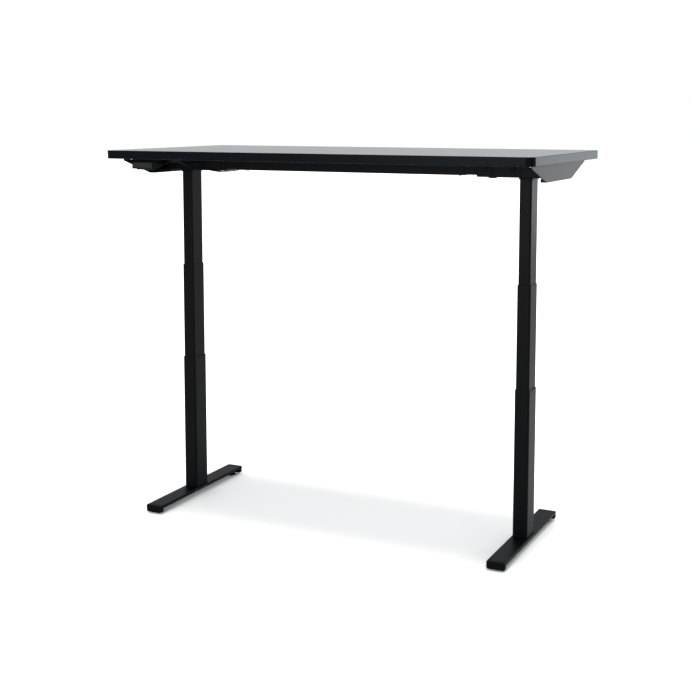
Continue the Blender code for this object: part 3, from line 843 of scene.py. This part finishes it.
class DESK_OT_electrics(bpy.types.Operator):
    """Control box behind the beam with its vents, sockets, plugs and mains inlet"""
    bl_idname = "desk.add_electrics"
    bl_label = "Control box"

    def execute(self, context):
        low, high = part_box("control_box")
        seam = high.z - 0.012
        lower = block("control_box_case", (low.x, low.y, low.z), (high.x, high.y, seam))
        round_edges(lower, 0.004, 5, lambda c, d: abs(d.z) > 0.9)
        round_edges(lower, 0.002, 4, lambda c, d: at_value(c.z, low.z))
        for step in range(14):
            x = low.x + 0.060 + 0.012 * step
            vent = block("vent", (x, low.y + 0.022, low.z - 0.002),
                         (x + 0.0035, high.y - 0.022, low.z + 0.0022))
            cut(lower, vent)
        soften(lower, 0.0003, 2, 60)
        lid = block("control_box_lid", (low.x + 0.0008, low.y + 0.0008, seam + 0.0006),
                    (high.x - 0.0008, high.y - 0.0008, high.z))
        round_edges(lid, 0.004, 5, lambda c, d: abs(d.z) > 0.9)
        soften(lid, 0.0006, 2, 50)
        place(lower, "top", "abs", "control_box")
        place(lid, "top", "abs")
        corners = [(x, y) for y in (low.y + 0.012, high.y - 0.012) for x in (low.x + 0.012, high.x - 0.012)]
        for index, (x, y) in enumerate(corners):
            screw = disc(f"control_box_screw_{index}", (x, y, low.z - 0.0002), 0.0032, 0.0016, "Z", 28)
            soften(screw, 0.0004, 2)
            cut(screw, block("slot", (x - 0.0022, y - 0.0004, low.z - 0.002),
                             (x + 0.0022, y + 0.0004, low.z - 0.0004)))
            place(screw, "top", "zinc")
        z = (low.z + high.z) / 2 - 0.00015
        for name, y, half in PLUGS:
            plug = block("plug_" + name, (low.x - 0.0110, y - half, z - 0.0052),
                         (low.x - 0.00005, y + half, z + 0.0052))
            round_edges(plug, 0.0012, 3, lambda c, d: abs(d.x) > 0.9)
            soften(plug, 0.0005, 2, 50)
            place(plug, "top", "abs")
        self.inlet()
        return {"FINISHED"}

    def inlet(self):
        """Three pin mains inlet with a recessed, chamfered well."""
        low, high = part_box("power_inlet")
        inlet = block("mains_inlet", low, high)
        round_edges(inlet, 0.003, 4, lambda c, d: abs(d.x) > 0.9)
        pick(inlet, "FACE", lambda c, n: n.x > 0.9)
        bpy.ops.mesh.inset(thickness=0.0035)
        bpy.ops.mesh.extrude_region_move(TRANSFORM_OT_translate={"value": (-0.0078, 0, 0)})
        rest()
        soften(inlet, 0.0004, 2, 50)
        place(inlet, "top", "abs", "power_inlet")
        at = (low + high) / 2
        for index, (y, z) in enumerate(((-0.007, -0.002), (0.007, -0.002), (0.0, 0.003))):
            pin = block(f"inlet_pin_{index}", (low.x + 0.0022, at.y + y - 0.001, at.z + z - 0.002),
                        (high.x - 0.0012, at.y + y + 0.001, at.z + z + 0.002))
            soften(pin, 0.0005, 2, 50)
            place(pin, "top", "zinc")


def smooth_path(knots, per_span):
    """Points along a Catmull-Rom curve through the knots."""
    path = []
    for i in range(len(knots) - 1):
        around = (max(i - 1, 0), i, i + 1, min(i + 2, len(knots) - 1))
        before, a, b, after = (Vector(knots[k]) for k in around)
        for step in range(per_span):
            t = step / per_span
            path.append(0.5 * (2 * a + (b - before) * t + (2 * before - 5 * a + 4 * b - after) * t * t
                               + (3 * a - before - 3 * b + after) * t ** 3))
    path.append(Vector(knots[-1]))
    return path


class DESK_OT_cables(bpy.types.Operator):
    """Hand controller cable and the two motor cables, with their clips and strain relief"""
    bl_idname = "desk.add_cables"
    bl_label = "Cables"

    def execute(self, context):
        sizes = context.scene.desk_sizes
        box_low, box_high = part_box("control_box")
        left, mid = box_low.x - 0.0012, (box_low.z + box_high.z) / 2
        case_low, case_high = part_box("handset_housing")
        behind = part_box("beam_centre")[1].y
        handset = [(case_high.x + 0.0022, case_low.y + 0.046, 1.224), (-0.556, -0.298, 1.228),
                   (-0.552, -0.250, 1.2325), (-0.584, -0.160, 1.2245), (-0.588, -0.095, 1.2065),
                   (-0.550, -0.072, 1.1990), (-0.512, -0.070, 1.1935), (-0.492, -0.058, 1.1900),
                   (-0.482, -0.022, 1.1898), (-0.470, 0.016, 1.1912), (-0.436, 0.036, 1.202),
                   (-0.350, 0.056, 1.219), (-0.270, 0.062, mid), (left, 0.062, mid)]
        near = [(-0.474, behind + 0.003, 1.222), (-0.466, behind + 0.012, 1.224),
                (-0.430, behind + 0.020, 1.230), (-0.360, 0.064, 1.233), (-0.290, 0.086, 1.226),
                (left, 0.084, mid)]
        far = [(0.474, behind + 0.003, 1.222), (0.466, behind + 0.014, 1.224), (0.400, behind + 0.028, 1.230),
               (0.300, 0.060, 1.234), (0.180, 0.104, 1.234), (0.110, 0.143, 1.232), (0.020, 0.146, 1.232),
               (-0.120, 0.146, 1.230), (-0.222, 0.146, 1.228), (-0.2365, 0.140, 1.2265),
               (-0.2425, 0.1255, 1.225), (-0.2365, 0.111, 1.2235), (-0.222, 0.105, mid), (left, 0.105, mid)]
        self.cable("handset_cable", handset, sizes.cable, "limp")
        self.cable("motor_cable_left", near, sizes.motor_cable, "medium")
        self.cable("motor_cable_right", far, sizes.motor_cable, "medium")
        x, y, z = handset[0]
        boot = disc("handset_strain_relief", (x + 0.003, y, z), 0.0032, 0.010, "X", 32)
        pick(boot, "FACE", lambda c, n: n.x > 0.9)
        bpy.ops.transform.resize(value=(1, 0.68, 0.68))
        rest()
        soften(boot, 0.0005, 3, 50)
        place(boot, "top", "abs")
        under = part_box("desktop")[0].z
        for index, (x, y, z, radius) in enumerate(CABLE_CLIPS):
            clip = block(f"cable_clip_{index}", (x - 0.006, y - 0.009, z - radius - 0.0016),
                         (x + 0.006, y + 0.009, under))
            round_edges(clip, 0.003, 4, lambda c, d: abs(d.x) > 0.9 and c.z < z)
            soften(clip, 0.0005, 2, 50)
            place(clip, "top", "nylon")
        return {"FINISHED"}

    def cable(self, name, knots, diameter, stiffness):
        """Round flexible cable along a smooth route, from one fitting to another."""
        path = smooth_path(knots, 5)
        data = bpy.data.curves.new(name + "_sheath", "CURVE")
        data.dimensions = "3D"
        spline = data.splines.new("POLY")
        spline.points.add(len(path) - 1)
        for point, place_at in zip(spline.points, path):
            point.co = (*place_at, 1.0)
        spline.use_smooth = True
        data.bevel_depth = diameter / 2
        data.bevel_resolution = 4
        data.use_fill_caps = True
        piece = bpy.data.objects.new(name + "_sheath", data)
        bpy.context.scene.collection.objects.link(piece)
        place(piece, "top", "sheath", name)


class DESK_OT_drive(bpy.types.Operator):
    """Finishes of the drive pieces hidden in the columns and leg heads"""
    bl_idname = "desk.finish_drive"
    bl_label = "Drive finishes"

    def execute(self, context):
        keys = {"lead_screw": "turned", "hollow_spindle": "turned", "drive_sleeve": "turned",
                "spindle_bearing": "acetal", "nut_plate": "acetal", "motor": "can", "gearbox": "cast"}
        for name, key in keys.items():
            for side, _ in SIDES:
                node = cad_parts[f"{name}_{side}"]
                node.data.materials.clear()
                node.data.materials.append(finish(key))
        return {"FINISHED"}


class DESK_OT_studio(bpy.types.Operator):
    """Pale floor, soft light and the camera"""
    bl_idname = "desk.add_studio"
    bl_label = "Studio"

    def execute(self, context):
        rest()
        bpy.ops.mesh.primitive_grid_add(x_subdivisions=4, y_subdivisions=4, size=60, location=(0, 0, 0))
        floor = settle("studio_floor")
        floor.data.materials.append(finish("floor"))
        world = bpy.data.worlds.new("studio")
        world.use_nodes = True
        background = world.node_tree.nodes["Background"]
        background.inputs["Color"].default_value = WORLD_COLOUR
        background.inputs["Strength"].default_value = WORLD_STRENGTH
        context.scene.world = world
        context.scene.view_settings.view_transform = "Standard"
        self.sun()
        for softbox in SOFTBOXES:
            self.softbox(*softbox)
        self.flag("side_flag", (3.4, -0.4, 1.2), (6.0, 2.4), 90.0)
        self.camera(context)
        return {"FINISHED"}

    def sun(self):
        """Even light from straight above, broad enough for a soft shadow under the top."""
        data = bpy.data.lights.new("overhead", "SUN")
        data.energy = SUN_STRENGTH
        data.angle = math.radians(SUN_ANGLE)
        lamp = bpy.data.objects.new("overhead", data)
        bpy.context.scene.collection.objects.link(lamp)

    def flag(self, name, centre, size, turn):
        """Black card beside the desk that darkens its rounded right corner. The camera doesn't see it."""
        rest()
        bpy.ops.mesh.primitive_grid_add(x_subdivisions=2, y_subdivisions=2, size=1, location=centre,
                                        rotation=(math.radians(90), 0, math.radians(turn)),
                                        scale=(size[0], size[1], 1))
        card = settle(name)
        card.data.materials.append(finish("card"))
        card.visible_camera = False

    def softbox(self, name, origin, target, size, brightness):
        """Rectangular softbox at a place, facing a target. The camera doesn't see it."""
        data = bpy.data.lights.new(name, "AREA")
        data.shape = "RECTANGLE"
        data.size, data.size_y = size
        data.energy = brightness * math.pi * size[0] * size[1]
        data.color = SOFTBOX_COLOUR
        lamp = bpy.data.objects.new(name, data)
        lamp.location = origin
        lamp.rotation_euler = (Vector(target) - Vector(origin)).to_track_quat("-Z", "Y").to_euler()
        lamp.visible_camera = False
        bpy.context.scene.collection.objects.link(lamp)

    def camera(self, context):
        """Camera in front of the desk, to the right of its middle, looking slightly down."""
        data = bpy.data.cameras.new("camera")
        data.lens = CAMERA_LENS
        data.shift_y = CAMERA_SHIFT
        camera = bpy.data.objects.new("camera", data)
        camera.location = CAMERA_PLACE
        camera.rotation_euler = (math.radians(90 - CAMERA_DOWN), 0, math.radians(CAMERA_TURN))
        context.scene.collection.objects.link(camera)
        context.scene.camera = camera


# ---------------------------------------------------------------- panel and registration

OPERATORS = (DESK_OT_top, DESK_OT_beam, DESK_OT_heads, DESK_OT_brackets, DESK_OT_columns, DESK_OT_feet,
             DESK_OT_handset, DESK_OT_electrics, DESK_OT_cables, DESK_OT_drive, DESK_OT_studio)


class DESK_PT_panel(bpy.types.Panel):
    """Lists the sizes, the colours and the steps of the build"""
    bl_label = "Standing desk"
    bl_idname = "DESK_PT_panel"
    bl_space_type = "VIEW_3D"
    bl_region_type = "UI"
    bl_category = "Standing desk"

    def draw(self, context):
        for group in (context.scene.desk_sizes, context.scene.desk_colours):
            for name in group.__annotations__:
                self.layout.prop(group, name)
        for step in OPERATORS:
            self.layout.operator(step.bl_idname)


CLASSES = (DeskSizes, DeskColours, *OPERATORS, DESK_PT_panel)


def register():
    """Make the sizes, the colours, the steps and the panel known to Blender."""
    for kind in CLASSES:
        bpy.utils.register_class(kind)
    bpy.types.Scene.desk_sizes = bpy.props.PointerProperty(type=DeskSizes)
    bpy.types.Scene.desk_colours = bpy.props.PointerProperty(type=DeskColours)


def unregister():
    """Take them away again."""
    del bpy.types.Scene.desk_colours
    del bpy.types.Scene.desk_sizes
    for kind in reversed(CLASSES):
        bpy.utils.unregister_class(kind)


def main():
    """Build the whole desk."""
    register()
    for step in OPERATORS:
        group, name = step.bl_idname.split(".")
        getattr(getattr(bpy.ops, group), name)()


if __name__ == "__main__":
    main()
